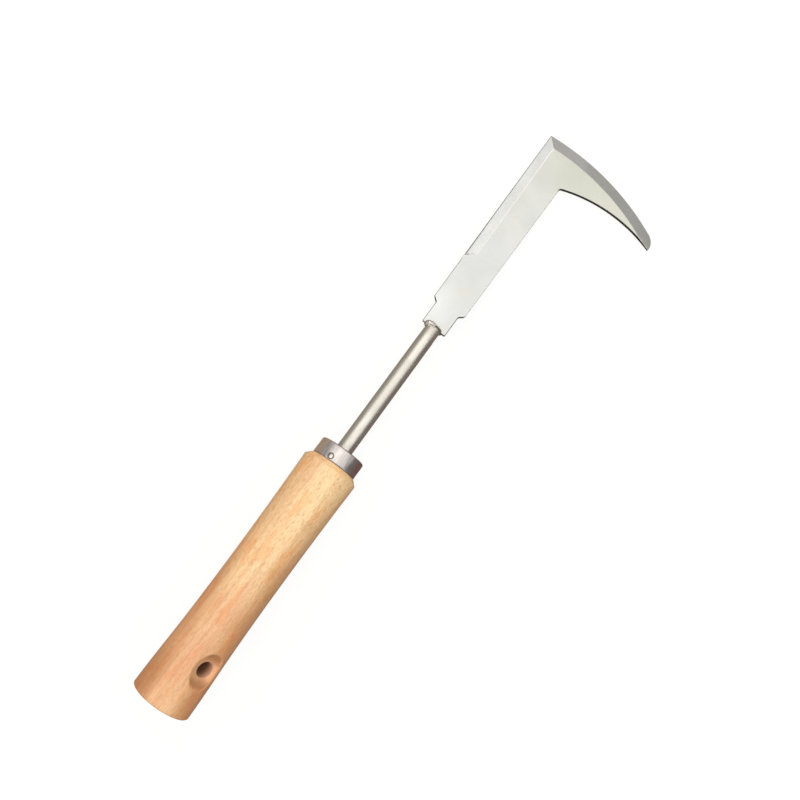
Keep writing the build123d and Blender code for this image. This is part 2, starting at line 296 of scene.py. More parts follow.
def tool_place_group():
    """Where a point lies in the tool's own axes, in millimetres."""
    tree, net, _, wanted = new_group(
        "Tool place", [], [("Place", "Vector"), ("Along", "Float"), ("Across", "Float"), ("Up", "Float")])
    shift, turn, scale = TO_TOOL.decompose()
    values = {"Vector": net.add("TexCoord").outputs["Object"], "Location": shift,
              "Rotation": turn.to_euler(), "Scale": scale}
    place = net.add("Mapping", values, vector_type="POINT").outputs[0]
    for socket, value in zip(wanted, (place, *net.parts(place))):
        net.feed(socket, value)
    return tree


def fine_lines_group():
    """Fine scratches and drawn or ground lines: long one way, close together the other."""
    tree, net, given, wanted = new_group(
        "Fine lines",
        [("Place", "Vector", (0, 0, 0)), ("Strength", "Float", 1.0), ("Breaks", "Float", 0.5)],
        [("Height", "Float"), ("Shade", "Float")])
    fine = net.noise(given["Place"], 1.0, 4.0, 0.7)
    coarse = net.noise(net.stretch(given["Place"], 0.31, 0.31, 0.31), 1.0, 2.0, 0.6)
    kept = net.rest(net.times(given["Breaks"], net.step(coarse, 0.42, 0.62)))
    height = net.times(net.less(fine, 0.5), kept, given["Strength"])
    net.feed(wanted["Height"], height)
    net.feed(wanted["Shade"], net.math("ADD", 0.5, height, clamp=True))
    return tree


def smudge_group():
    """Soft uneven patches, as handling, old oil and polish leave them."""
    tree, net, given, wanted = new_group(
        "Smudges",
        [("Place", "Vector", (0, 0, 0)), ("Size", "Float", 8.0), ("Sharpness", "Float", 0.5)],
        [("Mask", "Float"), ("Fine mask", "Float")])
    scale = net.math("DIVIDE", 1.0, given["Size"])
    patches = net.noise(given["Place"], scale, 3.0, 0.55, 0.6)
    reach = net.line(given["Sharpness"], -0.16, 0.20)
    net.feed(wanted["Mask"], net.step(patches, net.less(0.5, reach), net.plus(0.5, reach)))
    specks = net.noise(given["Place"], net.times(scale, 9.0), 2.0, 0.7)
    net.feed(wanted["Fine mask"], net.step(specks, 0.55, 0.75))
    return tree


def seam_grime_and_shade_group():
    """Darkening round a seam, for soiling that gathers there and for painted shade: full at the seam, patchy,
    and gone a little way off.
    """
    tree, net, given, wanted = new_group(
        "Seam grime",
        [("Place", "Vector", (0, 0, 0)), ("Distance", "Float", 1.0), ("Reach", "Float", 1.0)],
        [("Mask", "Float")])
    uneven = net.noise(given["Place"], 0.8, 3.0, 0.6)
    reach = net.times(given["Reach"], net.line(uneven, 1.4, 0.3))
    net.feed(wanted["Mask"], net.step(given["Distance"], 0.0, reach, 1.0, 0.0))
    return tree


GROUPS = {}
GROUP_MAKERS = {"place": tool_place_group, "lines": fine_lines_group,
                "smudges": smudge_group, "grime": seam_grime_and_shade_group}


def new_material(name):
    """A material with an empty tree, its Principled shader and the point's place on the tool."""
    material = bpy.data.materials.new(name)
    material.use_nodes = True
    material.node_tree.nodes.clear()
    net = Graph(material.node_tree)
    shader = net.add("BsdfPrincipled")
    net.add("OutputMaterial", {"Surface": shader.outputs[0]})
    return material, net, shader, net.use("place")


# ---------------------------------------------------------------- settings

def tone(name, description, default):
    """A colour setting, as linear red, green and blue."""
    return FloatVectorProperty(name=name, description=description, default=default,
                               subtype="COLOR", min=0, max=1)


class SickleWood(bpy.types.PropertyGroup):
    pale: tone("Pale wood", "Colour of the early wood near the ferrule", (0.840, 0.620, 0.345))
    warm: tone("Warm wood", "Colour of the redder wood near the butt", (0.610, 0.310, 0.148))
    fleck: tone("Fleck", "Colour of the short rays in beech", (0.400, 0.190, 0.080))
    ring_gap: FloatProperty(name="Ring gap", description="Distance between growth rings, in mm",
                            default=2.6, min=0.5, max=8)
    fleck_share: FloatProperty(name="Flecks", description="How strongly the rays show",
                               default=0.85, min=0, max=1, subtype="FACTOR")
    lacquer: FloatProperty(name="Lacquer", description="How much the satin lacquer shows",
                           default=0.35, min=0, max=1, subtype="FACTOR")


class SickleSteel(bpy.types.PropertyGroup):
    ferrule: tone("Ferrule", "Colour of the drawn ferrule", (0.55, 0.52, 0.50))
    neck: tone("Neck", "Colour of the round bar", (0.52, 0.50, 0.46))
    nail: tone("Nail", "Colour of the nail's head", (0.58, 0.56, 0.53))
    weld: tone("Weld", "Colour of the brushed weld metal", (0.64, 0.625, 0.60))
    blade: tone("Blade", "Colour of the satin plate", (0.430, 0.443, 0.443))
    hook_tint: tone("Hook", "Colour of the plate on the hook", (0.425, 0.437, 0.390))
    ground: tone("Ground bevel", "Colour of the fresh bevels", (0.50, 0.505, 0.49))


class SickleStage(bpy.types.PropertyGroup):
    eye: FloatVectorProperty(name="Camera", description="Camera's place in the tool's axes, in mm",
                             default=(87.4, -6.2, 325.6), size=3)
    aim: FloatVectorProperty(name="Aim", description="Point that the camera looks at, in mm",
                             default=(154.0, -6.6, 0.0), size=3)
    turn: FloatProperty(name="Turn", description="Turn of the picture's top from the tool's length",
                        default=math.radians(36.03), subtype="ANGLE")
    lens: FloatProperty(name="Lens", description="Focal length on a 36 mm sensor, in mm",
                        default=34.65, min=10, max=200)
    floor_colour: tone("Floor", "Colour of the pale floor", (1.0, 1.0, 0.985))
    hook_card: tone("Card by the hook", "What the tool mirrors on the hook's side", (0.25, 0.195, 0.182))
    far_card: tone("Far card", "What the tool mirrors on its other side", (0.36, 0.315, 0.262))
    key_power: FloatProperty(name="Soft box", description="Brightness of the overhead soft box",
                             default=1.60, min=0)
    sky: FloatProperty(name="Room", description="Brightness of the room round the tool",
                       default=0.5, min=0)


# ---------------------------------------------------------------- materials

def beech_material(look):
    """Turned beech: faint growth rings, long grain, short dark rays, end grain and satin lacquer."""
    material, net, shader, where = new_material("Beech")
    place, along, across = where["Place"], where["Along"], where["Across"]
    # growth rings round a heart that lies outside the handle
    sway = net.fibre(place, 0.012, 0.05, 2.0, 0.5)
    from_heart = net.vector("SUBTRACT", place, (0.0, 21.0, -27.0))
    ring_radius = net.vector("LENGTH", net.stretch(from_heart, 0.055, 1.0, 1.0))
    ring_radius = net.plus(ring_radius, net.times(sway, 9.0))
    phase = net.math("FRACT", net.math("DIVIDE", ring_radius, look.ring_gap))
    # redder towards the butt and on the side away from the hook
    drift = net.fibre(place, 0.02, 0.09, 2.0, 0.5)
    warmth = net.plus(net.times(net.step(along, 112.0, 18.0), 0.72), net.line(drift, 1.3, -0.52))
    warmth = net.line(net.step(across, 1.0, 12.0), 0.30, warmth, clamp=True)
    colour = net.mix(warmth, look.pale, look.warm)
    darker = net.tint(colour, (0.86, 0.80, 0.73), 1.0)
    colour = net.lay(colour, darker, net.step(phase, 0.45, 0.95), net.step(phase, 0.99, 0.95), 0.55)
    streaks = net.fibre(place, 0.035, 0.55, 4.0, 0.6, 0.3)
    colour = net.lay(colour, darker, net.step(streaks, 0.50, 0.72, 0.0, 0.75))
    grain = net.fibre(place, 0.16, 3.4, 4.0, 0.65)
    colour = net.tint(colour, (1.12, 1.13, 1.17), net.step(grain, 0.50, 0.66))
    fibres = net.fibre(place, 0.42, 5.2, 3.0, 0.7)
    colour = net.tint(colour, (0.80, 0.71, 0.60), net.step(fibres, 0.50, 0.34, 0.0, 0.85))
    blush = net.fibre(place, 0.05, 0.24, 3.0, 0.6, 0.4)
    colour = net.tint(colour, (1.01, 0.80, 0.63), net.step(blush, 0.48, 0.62, 0.0, 0.85))
    # short dark dashes, thicker towards the ferrule
    dash, dash_pick = net.dashes(place, 0.34, 2.5, 0.18, 0.50)
    colour = net.tint(colour, (0.72, 0.60, 0.44), dash, net.step(net.parts(dash_pick)[1], 0.30, 0.45),
                      net.step(along, 30.0, 85.0, 0.5, 1.0), 0.80)
    # painted shade: the butt is darker on its side away from the hook
    colour = net.tint(colour, (0.78, 0.71, 0.60), net.step(along, 27.0, 9.0), net.step(across, 2.5, 8.5))
    # end grain shows on faces that look along the tool
    surface = net.add("NewGeometry").outputs["Normal"]
    facing = net.size(net.vector("DOT_PRODUCT", surface, row_direction(1, 0, 0)))
    end = net.step(facing, 0.80, 0.97)
    # rays: thin lens shapes along the grain, thicker in some places than in others
    ray, ray_pick = net.dashes(place, 0.36, 1.9, 0.13, 0.30)
    small_ray, _ = net.dashes(place, 0.60, 2.9, 0.14, 0.40, 0.8)
    rays = net.math("MAXIMUM", net.times(ray, net.step(net.parts(ray_pick)[0], 0.50, 0.62)),
                    net.times(small_ray, 0.75))
    crowd = net.step(net.fibre(place, 0.03, 0.2), 0.34, 0.60, 0.35, 1.0)
    rays = net.times(rays, net.step(along, 30.0, 85.0, 0.65, 1.0), crowd, look.fleck_share, net.rest(end))
    colour = net.lay(colour, look.fleck, rays)
    pore = net.times(net.dashes(place, 0.4, 5.5, 0.16, 0.30)[0], end)
    colour = net.tint(colour, (0.74, 0.66, 0.60), end, 0.55)
    colour = net.lay(colour, look.fleck, pore, 0.5)
    # raw wood inside the hanging hole, with painted shade that darkens it towards the middle of the hole
    from_hole, along_hole, off_hole = net.off_line(place, HOLE_PLACE, HOLE_AXIS)
    inside = net.step(off_hole, HOLE_RADIUS + 0.35, HOLE_RADIUS + 0.02)
    outside = net.rest(inside)
    raw_wood_and_shade = net.mix(net.step(net.size(along_hole), HOLE_HALF, 6.0), RAW_WOOD, HOLE_DEPTH_SHADE)
    colour = net.lay(colour, raw_wood_and_shade, inside, 0.90)
    # the dish cuts across the fibres at its two ends along the grain, which drink the lacquer and go dark;
    # the darkening there is partly painted shade
    dish = net.step(off_hole, HOLE_RADIUS + 4.6, HOLE_RADIUS + 3.4)
    colour = net.tint(colour, (0.60, 0.46, 0.36), dish, net.step(facing, 0.20, 0.42), outside, 0.85)
    # painted light: the dish's slope on one side of the hole is painted paler, as if lit
    towards_side = net.vector("DOT_PRODUCT", from_hole, tuple(HOLE_SIDE))
    colour = net.tint(colour, (1.42, 1.50, 1.58), dish, net.step(facing, 0.30, 0.12),
                      net.step(towards_side, 1.0, 3.0), outside, 0.8)
    cut_grain = net.fibre(place, 0.5, 2.2, 3.0, 0.6)
    colour = net.tint(colour, (0.78, 0.66, 0.58), net.step(off_hole, HOLE_RADIUS + 3.6, HOLE_RADIUS + 0.2),
                      net.step(cut_grain, 0.40, 0.66, 0.0, 0.30))
    # painted light: the turned shoulder's slope is painted paler, as if lit
    colour = net.tint(colour, (1.16, 1.15, 1.14), net.step(facing, 0.35, 0.60),
                      net.step(along, 100.0, 106.0))
    seam = net.grime(place, net.gap(along, FERRULE_START), 0.5)
    colour = net.lay(colour, WOOD_SEAM_DIRT, seam, 0.75)
    smudge = net.use("smudges", place=net.stretch(place, 0.4, 1.0, 1.0), size=9.0)["Mask"]
    net.feed(shader.inputs["Base Color"], net.lay(colour, darker, smudge, 0.18))
    rough = net.plus(net.line(smudge, 0.07, 0.44), net.times(net.math("MAXIMUM", inside, end), 0.20))
    net.feed(shader.inputs["Roughness"], net.plus(rough, net.times(rays, 0.12)))
    shader.inputs["Coat Roughness"].default_value = 0.30
    bare = net.rest(net.math("MAXIMUM", inside, net.times(end, 0.6)))
    net.feed(shader.inputs["Coat Weight"], net.times(bare, look.lacquer))
    relief = net.plus(net.times(grain, 0.5), net.times(streaks, 0.4))
    relief = net.less(net.less(relief, net.times(rays, 0.35)), net.times(pore, 0.5))
    bump = net.add("Bump", {"Height": relief, "Strength": 0.22, "Distance": 0.00012})
    net.feed(shader.inputs["Normal"], bump.outputs[0])
    return material


def steel_shader(net, shader, colour, roughness, height, strength, distance):
    """Joins up a bare steel surface."""
    net.feed(shader.inputs["Base Color"], colour)
    net.feed(shader.inputs["Roughness"], roughness)
    shader.inputs["Metallic"].default_value = 1.0
    bump = net.add("Bump", {"Height": height, "Strength": strength, "Distance": distance})
    net.feed(shader.inputs["Normal"], bump.outputs[0])


def ferrule_material(look):
    """Drawn and polished steel with fine turned lines, handling marks, soiled seams, painted shade beside the
    crown and round the nail, and painted reflection on its sides.
    """
    material, net, shader, where = new_material("Ferrule steel")
    place, across = where["Place"], where["Across"]
    lines = net.use("lines", place=net.stretch(place, 9.0, 0.35, 0.35), strength=0.9, breaks=0.5)
    smudge = net.use("smudges", place=place, size=4.5)["Mask"]
    colour = net.tint(look.ferrule, (0.80, 0.77, 0.74), smudge, 0.30)
    dull = net.fibre(place, 0.10, 0.50, 3.0, 0.6, 0.5)
    colour = net.lay(colour, FERRULE_DULL, net.step(dull, 0.46, 0.60, 0.0, 0.45))
    # painted shade: darker bands either side of the crown narrow its highlight; handling left streaks along
    # the tool
    off_crown = net.size(across)
    colour = net.lay(colour, FERRULE_FLANK_SHADE, net.step(off_crown, 0.5, 1.9), net.step(off_crown, 5.0, 3.2),
                     0.55)
    streaks = net.fibre(place, 0.07, 1.5, 3.0, 0.6, 0.2)
    colour = net.lay(colour, FERRULE_DARK, net.step(streaks, 0.50, 0.38, 0.0, 0.55))
    colour = net.lay(colour, FERRULE_BRIGHT, net.step(streaks, 0.56, 0.68, 0.0, 0.50))
    colour = net.lay(colour, FERRULE_LINE, net.step(lines["Shade"], 0.42, 0.20, 0.0, 0.35))
    # painted reflection: red-brown on the hook's side, a paler straw tone on the other
    colour = net.tint(colour, (0.76, 0.52, 0.50), net.step(across, -6.0, -10.0, 0.0, 0.90))
    colour = net.tint(colour, (1.42, 1.22, 1.04), net.step(across, 5.5, 9.5, 0.0, 0.90))
    # the back seam is soiled, and a dark ring of painted shade lies round the nail's head
    seam = net.grime(place, net.less(where["Along"], FERRULE_START), 0.55)
    from_nail = net.off_line(place, (NAIL_PLACE.x, 0.0, 0.0), NAIL_OUT)[2]
    ring = net.grime(place, net.gap(from_nail, NAIL_HEAD + 0.02), 0.5)
    dirt_and_shade = net.math("MAXIMUM", net.times(seam, 0.8), net.times(ring, 0.9))
    colour = net.lay(colour, FERRULE_DIRT_AND_SHADE, dirt_and_shade)
    roughness = net.plus(net.line(smudge, 0.10, 0.31), net.times(dirt_and_shade, 0.3))
    steel_shader(net, shader, colour, roughness, lines["Height"], 0.35, 0.00006)
    return material


def neck_material(look):
    """Bright drawn bar: fine lines along it, faint darker streaks, heat tint beside the weld."""
    material, net, shader, where = new_material("Neck steel")
    place, along = where["Place"], where["Along"]
    lines = net.use("lines", place=net.stretch(place, 0.10, 5.5, 5.5), strength=0.9, breaks=0.6)
    smudge = net.use("smudges", place=net.stretch(place, 0.4, 1.0, 1.0), size=5.0)["Mask"]
    colour = net.lay(look.neck, NECK_DARK, net.step(lines["Shade"], 0.46, 0.22, 0.0, 0.40))
    colour = net.lay(colour, NECK_BRIGHT, net.step(lines["Shade"], 0.54, 0.74, 0.0, 0.55))
    colour = net.lay(colour, NECK_DULL, smudge, 0.22)
    heat = net.step(along, NECK_END - 7.0, NECK_END - 1.0)
    colour = net.lay(colour, NECK_HEAT, heat, 0.35)
    seam = net.grime(place, net.gap(along, FERRULE_END), 0.5)
    colour = net.lay(colour, NECK_DIRT, seam, 0.8)
    # weld soot and painted shade darken the bar's end, where it stands over the tab
    end_soot_and_shade = net.grime(place, net.less(NECK_END, along), 0.8)
    colour = net.lay(colour, NECK_SOOT_AND_SHADE, end_soot_and_shade, 0.75)
    roughness = net.plus(net.line(smudge, 0.08, 0.37), net.times(heat, 0.06))
    steel_shader(net, shader, colour, roughness, lines["Height"], 0.30, 0.00005)
    return material


def nail_material(look):
    """Plain bright nail, dark round the rim of its head."""
    material, net, shader, where = new_material("Nail steel")
    place = where["Place"]
    from_nail = net.off_line(place, (NAIL_PLACE.x, 0.0, 0.0), NAIL_OUT)[2]
    lines = net.use("lines", place=net.stretch(place, 3.0, 3.0, 3.0), strength=0.8)
    # painted shade round the rim of the head
    rim = net.grime(place, net.gap(from_nail, NAIL_HEAD - 0.05), 0.5)
    colour = net.lay(look.nail, NAIL_RIM_SHADE, rim, 0.85)
    steel_shader(net, shader, colour, net.line(rim, 0.3, 0.26), lines["Height"], 0.3, 0.00006)
    return material


def blade_material(look):
    """Satin plate with freshly ground bevels: ground lines square to each edge, faint warm stains."""
    material, net, shader, where = new_material("Blade steel")
    place, along, across, up = where["Place"], where["Along"], where["Across"], where["Up"]
    past_neck = net.less(along, NECK_END)
    face_lines = net.use("lines", place=net.stretch(place, 0.25, 6.0, 2.0), strength=0.8, breaks=0.7)
    smudge = net.use("smudges", place=place, size=14.0, sharpness=0.2)["Mask"]
    stains = net.use("smudges", place=net.vector("ADD", place, (40.0, 7.0, 0.0)), size=26.0, sharpness=0.0)
    # the hook was drawn out hotter and is a little greener, and the tab is brighter away from the hook
    towards_hook = net.line(across, -0.809, net.times(along, 0.588))
    colour = net.mix(net.step(towards_hook, 162.0, 172.0), look.blade, look.hook_tint)
    colour = net.lay(colour, TAB_BRIGHT, net.step(across, -5.0, 5.0), net.step(past_neck, 26.0, 6.0), 0.8)
    colour = net.lay(colour, PLATE_SMUDGE, smudge, 0.25)
    colour = net.lay(colour, PLATE_STAIN, stains["Mask"], 0.30)
    # bevels lean a little away from the plate's two flat sides, and its walls lean far away
    surface = net.add("NewGeometry").outputs["True Normal"]
    lean = net.size(net.vector("DOT_PRODUCT", surface, row_direction(0, 0, 1)))
    bevel = net.times(net.step(lean, 0.9985, 0.985), net.step(lean, 0.930, 0.940))
    wall = net.step(lean, 0.940, 0.930)
    from_run_out = net.gap(along, BEVEL_START + 2.0)
    run_out = net.times(net.step(from_run_out, 4.0, 3.2), net.step(across, 3.2, 3.8),
                        net.step(lean, 0.4, 0.6), wall)
    wall = net.less(wall, run_out)
    # the long back edge was sheared and stayed bright, and the edges away from the hook get lighter painted
    # shade
    sheared = net.times(wall, net.step(across, -7.0, -7.8), net.step(past_neck, 11.5, 13.0),
                        net.step(along, HEEL + 0.5, HEEL - 1.5))
    tab_side = net.times(net.step(across, 4.4, 5.0), net.step(past_neck, 9.6, 8.8))
    wall = net.times(net.less(wall, sheared), net.step(across, 7.2, 8.0, 1.0, 0.38),
                     net.line(tab_side, -0.45, 1.0))
    # ground lines: round the hook's edge on the hook's bevel, across the side bevel elsewhere
    hook = net.step(across, HOOK_STARTS, HOOK_FULL)
    from_centre = net.less(along, PLATE_END - HOOK_EDGE_RADIUS)
    off_centre = net.plus(across, HOOK_EDGE_OFFSET)
    ring = net.vector("LENGTH", net.joined(from_centre, off_centre, 0.0))
    turn = net.math("ARCTAN2", off_centre, from_centre)
    hook_place = net.joined(net.times(turn, 700.0), net.times(ring, 0.35), up)
    hook_lines = net.use("lines", place=hook_place, strength=1.0, breaks=0.3)
    side_lines = net.use("lines", place=net.stretch(place, 6.0, 0.35, 1.0), strength=1.0, breaks=0.3)
    ground_shade = net.between(hook, side_lines["Shade"], hook_lines["Shade"])
    ground = net.mix(net.step(ground_shade, 0.25, 0.6), [0.82 * part for part in look.ground], look.ground)
    ground = net.tint(ground, (1.07, 1.08, 1.10), net.rest(hook))
    colour = net.lay(colour, ground, bevel)
    # painted shade: the plate's walls are painted nearly black
    colour = net.lay(colour, PLATE_WALL_SHADE, wall, 0.95)
    # a painted highlight on the ridge where the side bevel meets the flat, a bright run-out, and a dark burr
    # at the edge
    hook_bevel = net.times(net.step(ring, HOOK_EDGE_RADIUS - 5.9, HOOK_EDGE_RADIUS - 5.5), bevel)
    to_edge = net.less(net.step_line(along, SIDE_EDGE), across)
    from_ridge = net.gap(to_edge, SIDE_BEVEL)
    colour = net.lay(colour, RIDGE_HIGHLIGHT, net.step(from_ridge, 0.30, 0.05),
                     net.math("GREATER_THAN", up, 0.0),
                     net.step(along, BEVEL_START + 3.0, BEVEL_START + 5.0), net.rest(hook_bevel), 0.60)
    colour = net.lay(colour, RUN_OUT_SHINE, run_out)
    colour = net.lay(colour, SHEARED_WALL, sheared, 0.45)
    colour = net.lay(colour, BURR, net.step(to_edge, 0.38, 0.10), bevel, 0.42)
    colour = net.lay(colour, PLATE_HEAT, net.step(past_neck, 5.0, 0.0), 0.20)
    # painted shadow that the bar's end casts on the tab, further out where the bar is higher
    bar_square = net.math("MAXIMUM", 0.0, net.less(NECK_RADIUS ** 2, net.times(across, across)))
    bar_shadow = net.grime(place, net.line(net.math("SQRT", bar_square), -0.30, past_neck), 0.85)
    near_neck = net.step(net.size(across), NECK_RADIUS + 0.6, NECK_RADIUS - 0.3)
    colour = net.lay(colour, BAR_END_SHADOW, bar_shadow, near_neck, net.step(across, 1.6, 0.4, 0.05, 1.0), 0.95)
    height = net.between(bevel, net.times(face_lines["Height"], 0.6),
                         net.between(hook, side_lines["Height"], hook_lines["Height"]))
    roughness = net.plus(net.line(smudge, 0.06, 0.36), net.times(bevel, -0.04))
    steel_shader(net, shader, colour, roughness, height, 0.22, 0.00005)
    return material


def weld_material(look):
    """Wire-brushed weld metal, duller in patches, with soot in its hollows."""
    material, net, shader, where = new_material("Weld steel")
    place = where["Place"]
    smudge = net.use("smudges", place=place, size=1.6, sharpness=0.6)
    lines = net.use("lines", place=net.stretch(place, 4.0, 4.0, 4.0), strength=1.0)
    colour = net.lay(look.weld, WELD_DULL, smudge["Mask"], 0.6)
    colour = net.lay(colour, WELD_SOOT, smudge["Fine mask"], 0.6)
    steel_shader(net, shader, colour, net.line(smudge["Mask"], 0.18, 0.34), lines["Height"], 0.8, 0.0003)
    return material


# ---------------------------------------------------------------- helpers for pieces

def dress_node(name, material):
    """Gives a CAD node a finish through its own material slots."""
    node = frame["nodes"][name]
    if not node.data.materials:
        node.data.materials.append(material)
    for index in range(len(node.data.materials)):
        node.data.materials[index] = material


def new_object(name, body_mesh):
    """A scene object from a bmesh, which is used up."""
    data = bpy.data.meshes.new(name)
    body_mesh.to_mesh(data)
    body_mesh.free()
    made = bpy.data.objects.new(name, data)
    bpy.context.scene.collection.objects.link(made)
    return made


def add_piece(name, body_mesh, node, material):
    """Turns a bmesh drawn in the tool's axes into a piece that stands in for a CAD node."""
    body_mesh.transform(TO_ROW)
    bmesh.ops.recalc_face_normals(body_mesh, faces=body_mesh.faces)
    piece = new_object(name, body_mesh)
    piece.data.shade_smooth()
    piece.data.materials.append(material)
    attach(piece, "root")
    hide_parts(node)
    return piece


def circle(count):
    """Angles of evenly spaced points round a circle."""
    return [2 * math.pi * step / count for step in range(count)]


def skin(made, loops, closed=False):
    """Joins neighbouring loops of vertices with faces, and the last to the first if it is closed."""
    for here, there in zip(loops, loops[1:] + loops[:1] if closed else loops[1:]):
        for index in range(len(here)):
            after = (index + 1) % len(here)
            made.faces.new((here[index], here[after], there[after], there[index]))


def rounded(corner, before, after, radius, steps):
    """Points of an arc that rounds one corner of an outline."""
    corner, before, after = Vector(corner), Vector(before), Vector(after)
    back, on = (before - corner).normalized(), (after - corner).normalized()
    half = back.angle(on) / 2
    reach = radius / math.tan(half)
    centre = corner + (back + on).normalized() * (radius / math.sin(half))
    start, end = corner + back * reach - centre, corner + on * reach - centre
    first = math.atan2(start.y, start.x)
    turn = math.remainder(math.atan2(end.y, end.x) - first, 2 * math.pi)
    angles = [first + turn * step / steps for step in range(steps + 1)]
    return [(centre.x + radius * math.cos(angle), centre.y + radius * math.sin(angle)) for angle in angles]


def node_outline(name, flatness):
    """A CAD node's mesh in the tool's axes, with split corners joined and flat faces made whole."""
    made = bmesh.new()
    made.from_mesh(frame["nodes"][name].data)
    made.transform(TO_TOOL)
    bmesh.ops.remove_doubles(made, verts=made.verts, dist=0.002)
    bmesh.ops.dissolve_limit(made, angle_limit=math.radians(flatness), verts=made.verts, edges=made.edges)
    return made


def soften(made, chosen, offset, segments):
    """Rounds every edge that the test picks."""
    edges = [edge for edge in made.edges if len(edge.link_faces) == 2 and chosen(edge)]
    bmesh.ops.bevel(made, geom=edges, offset=offset, segments=segments, profile=0.5,
                    affect="EDGES", clamp_overlap=False)


def keep_flats_flat(piece):
    """Large faces keep their own normals, so only the rounded edges shade as curves."""
    flats = piece.modifiers.new("flats", "WEIGHTED_NORMAL")
    flats.weight = 100
    flats.keep_sharp = False


# ---------------------------------------------------------------- pieces

class SICKLE_OT_handle(bpy.types.Operator):
    """Turned beech handle with its hanging hole"""
    bl_idname = "sickle.handle"
    bl_label = "Handle"

    def execute(self, context):
        dress_node("handle", beech_material(context.scene.sickle_wood))
        return {"FINISHED"}


class SICKLE_OT_ferrule(bpy.types.Operator):
    """Drawn steel ferrule on the front of the handle"""
    bl_idname = "sickle.ferrule"
    bl_label = "Ferrule"

    def execute(self, context):
        edge, inside = FERRULE_RADIUS, FERRULE_RADIUS - FERRULE_WALL
        hole = NECK_RADIUS + FERRULE_GAP
        back, front, cap = FERRULE_START, FERRULE_END, FERRULE_END - FERRULE_WALL
        profile = rounded((back, edge), (back, inside), (front, edge), 0.12, 3)
        profile += [(back + (front - back) * share, edge) for share in (0.2, 0.35, 0.5, 0.65, 0.8)]
        profile += rounded((front, edge), (back, edge), (front, hole), 0.75, 8)
        profile += [(front, hole + 3.0), (front, hole + 1.2)]
        profile += rounded((front, hole), (front, edge), (cap, hole), 0.25, 4)
        profile += [(cap, hole), (cap, inside), (back, inside)]
        made = bmesh.new()
        skin(made, [[made.verts.new((x, radius * math.cos(angle), radius * math.sin(angle)))
                     for x, radius in profile] for angle in circle(160)], closed=True)
        # drawing and handling leave the thin wall very slightly out of round
        for vertex in made.verts:
            around = math.atan2(vertex.co.z, vertex.co.y)
            seed = Vector((vertex.co.x * 0.22, math.cos(around) * 1.7, math.sin(around) * 1.7))
            push = 0.055 * noise.noise(seed) + 0.02 * noise.noise(seed * 3.1)
            radius = math.hypot(vertex.co.y, vertex.co.z)
            if radius > inside:
                vertex.co.y += push * vertex.co.y / radius
                vertex.co.z += push * vertex.co.z / radius
        piece = add_piece("drawn_ferrule", made, "ferrule", ferrule_material(context.scene.sickle_steel))
        keep_flats_flat(piece)
        return {"FINISHED"}


class SICKLE_OT_nail(bpy.types.Operator):
    """Nail that holds the ferrule"""
    bl_idname = "sickle.nail"
    bl_label = "Nail"

    def execute(self, context):
        made = bmesh.new()
        along, side = Vector((1, 0, 0)), Vector((1, 0, 0)).cross(NAIL_OUT)
        spot = Vector((NAIL_PLACE.x, 0.0, 0.0))
        crown_height, shank, point = 0.42, 0.65, 0.08

        def place(radius, angle, height):
            arm = along * math.cos(angle) + side * math.sin(angle)
            return made.verts.new(spot + NAIL_OUT * height + arm * radius)

        head = [(0.22, 0.40), (0.45, 0.35), (0.66, 0.27), (0.84, 0.17), (1.0, 0.06),
                (1.1, -0.03), (1.17, -0.14), (NAIL_HEAD, -0.30)]
        loops = []
        for radius, height in head:
            loop = []
            for angle in circle(36):
                # three hammer flats meet near the middle of the head, which bends with the ferrule
                flat = 0.13 * max(0.0, math.cos(1.5 * ((angle + 0.6) % (2 * math.pi / 3)) - 1.5))
                drop = flat * math.sin(math.pi * radius / NAIL_HEAD) ** 2
                bend = FERRULE_RADIUS - math.sqrt(FERRULE_RADIUS ** 2 - (radius * math.sin(angle)) ** 2)
                loop.append(place(radius, angle, FERRULE_RADIUS - bend * 0.9 + height - drop))
            loops.append(loop)
        crown = place(0.0, 0.0, FERRULE_RADIUS + crown_height)
        for radius, height in ((shank, FERRULE_RADIUS - 0.5), (shank, NAIL_POINT + 0.5), (point, NAIL_POINT)):
            loops.append([place(radius, angle, height) for angle in circle(36)])
        for here, after in zip(loops[0], loops[0][1:] + loops[0][:1]):
            made.faces.new((crown, here, after))
        skin(made, loops)
        made.faces.new(list(reversed(loops[-1])))
        add_piece("nail", made, "ferrule_nail", nail_material(context.scene.sickle_steel))
        return {"FINISHED"}


class SICKLE_OT_neck(bpy.types.Operator):
    """Round neck between the handle and the blade"""
    bl_idname = "sickle.neck"
    bl_label = "Neck"

    def execute(self, context):
        dress_node("neck", neck_material(context.scene.sickle_steel))
        return {"FINISHED"}


class SICKLE_OT_blade(bpy.types.Operator):
    """Hooked blade with its ground bevels"""
    bl_idname = "sickle.blade"
    bl_label = "Blade"

    def execute(self, context):
        made = node_outline("blade", 0.5)

        def ridge(edge):
            """An edge between the plate's face and a ground bevel."""
            flattest = min(abs(face.normal.z) for face in edge.link_faces)
            return edge.calc_face_angle() > 0.12 and flattest > 0.8

        def rim_wall(edge):
            """Height of the lower wall beside a level edge, or nothing for any other edge."""
            if abs(edge.verts[0].co.z - edge.verts[1].co.z) >= 0.01 or edge.calc_face_angle() <= 1.0:
                return 0.0
            levels = [[vertex.co.z for vertex in face.verts] for face in edge.link_faces
                      if abs(face.normal.z) < 0.5]
            return min((max(level) - min(level) for level in levels), default=0.0)

        soften(made, ridge, 0.20, 3)
        soften(made, lambda edge: rim_wall(edge) > HALF_PLATE, 0.30, 2)
        soften(made, lambda edge: 0 < rim_wall(edge) < HALF_PLATE / 2, 0.04, 1)
        piece = add_piece("hooked_blade", made, "blade", blade_material(context.scene.sickle_steel))
        keep_flats_flat(piece)
        return {"FINISHED"}


